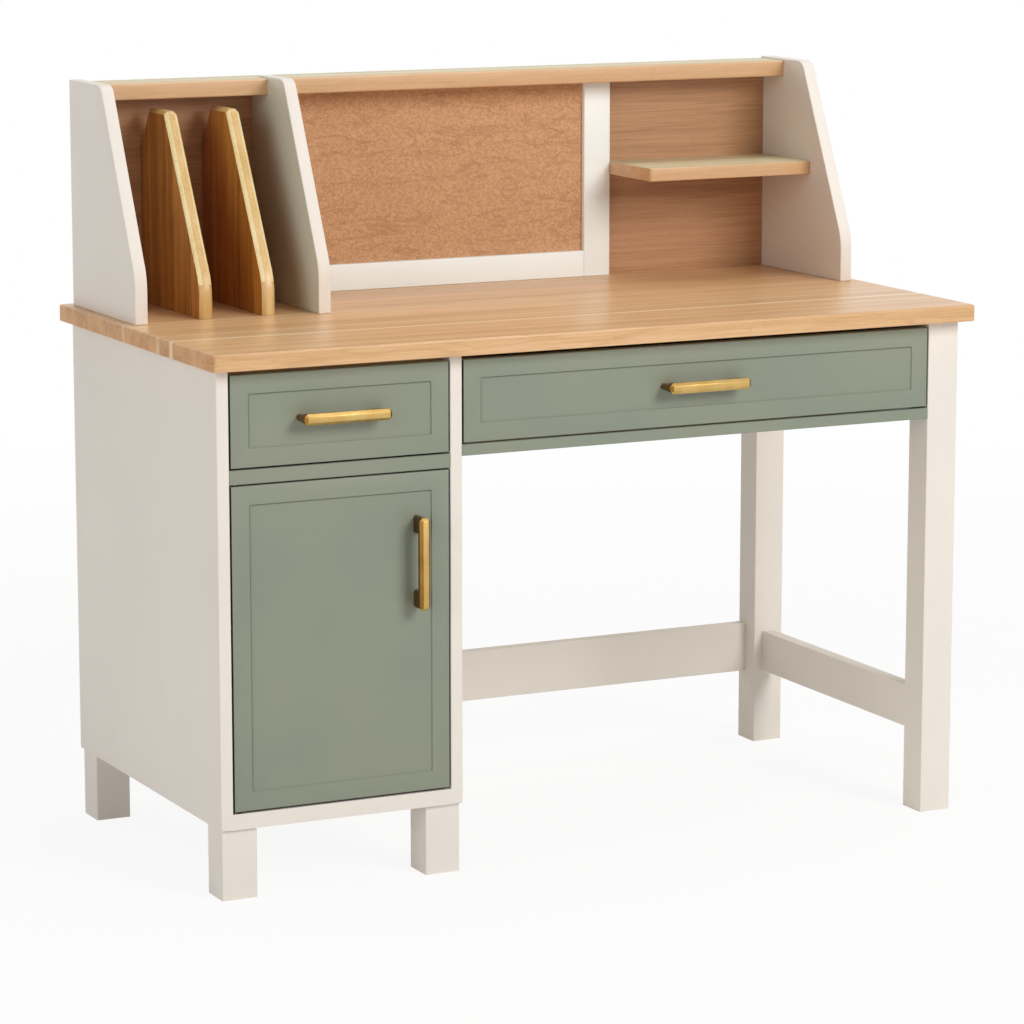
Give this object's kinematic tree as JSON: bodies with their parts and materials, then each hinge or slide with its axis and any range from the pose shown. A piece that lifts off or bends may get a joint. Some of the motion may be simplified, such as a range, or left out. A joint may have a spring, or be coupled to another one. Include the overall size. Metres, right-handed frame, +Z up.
{
  "type": "student desk with hutch",
  "caption": "Pedestal writing desk with a small drawer over a hinged cupboard, a wide centre drawer, an open leg frame and a low hutch with paper slots, pinboard and shelf.",
  "frame": {"origin": "on the floor under the middle of the desktop, 2 mm behind the middle of the whole, handles included", "axes": "+Z up, +X to the sitter's right, -Y out of the front towards the sitter"},
  "size_m": [1.2, 0.604, 1.09],
  "materials": {
    "oak_boards": "satin lacquer",
    "oak_back": "satin lacquer",
    "white_paint": "satin warm white paint",
    "green_paint": "satin sage green paint",
    "golden_wood": "oiled, vertical grain",
    "plywood": "clear lacquer",
    "cork": "raw pressed cork",
    "brass": "brushed, lacquered",
    "steel": "zinc plated",
    "catch_plastic": "moulded"
  },
  "bodies": {
    "desk": {"desktop": "oak_boards", "cabinet_left_side": "white_paint", "cabinet_right_side": "white_paint", "cabinet_bottom": "white_paint", "cabinet_back": "white_paint", "cabinet_top": "plywood", "drawer_rail": "green_paint", "cabinet_shelf": "white_paint", "foot_front_left": "white_paint", "foot_front_right": "white_paint", "foot_rear_left": "white_paint", "foot_rear_right": "white_paint", "shelf_cleats": "white_paint", "desktop_screws": "steel", "front_leg": "white_paint", "rear_leg": "white_paint", "side_stretcher": "white_paint", "rear_stretcher": "white_paint", "right_apron": "white_paint", "rear_apron": "white_paint", "centre_rail": "green_paint", "hutch_left_panel": "white_paint", "hutch_divider_panel": "white_paint", "hutch_right_panel": "white_paint", "hutch_top_board": "oak_boards", "hutch_back_panel": "oak_back", "cork_sheet": "cork", "pinboard_stile": "white_paint", "pinboard_rail": "white_paint", "hutch_shelf": "oak_boards", "paper_divider_left": "golden_wood", "paper_divider_right": "golden_wood", "door_catch": "catch_plastic", "door_pivot_pins": "steel", "small_runner_left": "steel", "small_runner_right": "steel", "centre_runner_left": "steel", "centre_runner_right": "steel"},
    "small_drawer": {"small_slide_left": "steel", "small_drawer_left": "plywood", "small_slide_right": "steel", "small_drawer_right": "plywood", "small_drawer_front": "green_paint", "small_drawer_back": "plywood", "small_drawer_bottom": "plywood", "small_drawer_handle": "brass", "small_drawer_handle_screws": "steel"},
    "centre_drawer": {"centre_slide_left": "steel", "centre_drawer_left": "plywood", "centre_slide_right": "steel", "centre_drawer_right": "plywood", "centre_drawer_front": "green_paint", "centre_drawer_back": "plywood", "centre_drawer_bottom": "plywood", "centre_drawer_handle": "brass", "centre_drawer_handle_screws": "steel"},
    "cupboard_door": {"door": "green_paint", "door_handle": "brass", "door_handle_screws": "steel", "catch_plate": "steel"}
  },
  "joints": [
    {"name": "small_drawer_slide", "type": "slide", "parent": "desk", "child": "small_drawer", "axis": [0, -1, 0], "range_m": [0, 0.33]},
    {"name": "centre_drawer_slide", "type": "slide", "parent": "desk", "child": "centre_drawer", "axis": [0, -1, 0], "range_m": [0, 0.33]},
    {"name": "door_hinge", "type": "hinge", "parent": "desk", "child": "cupboard_door", "pos_m": [-0.5565, -0.268, 0.35125], "axis": [0, 0, -1], "range_deg": [0, 110]}
  ]
}
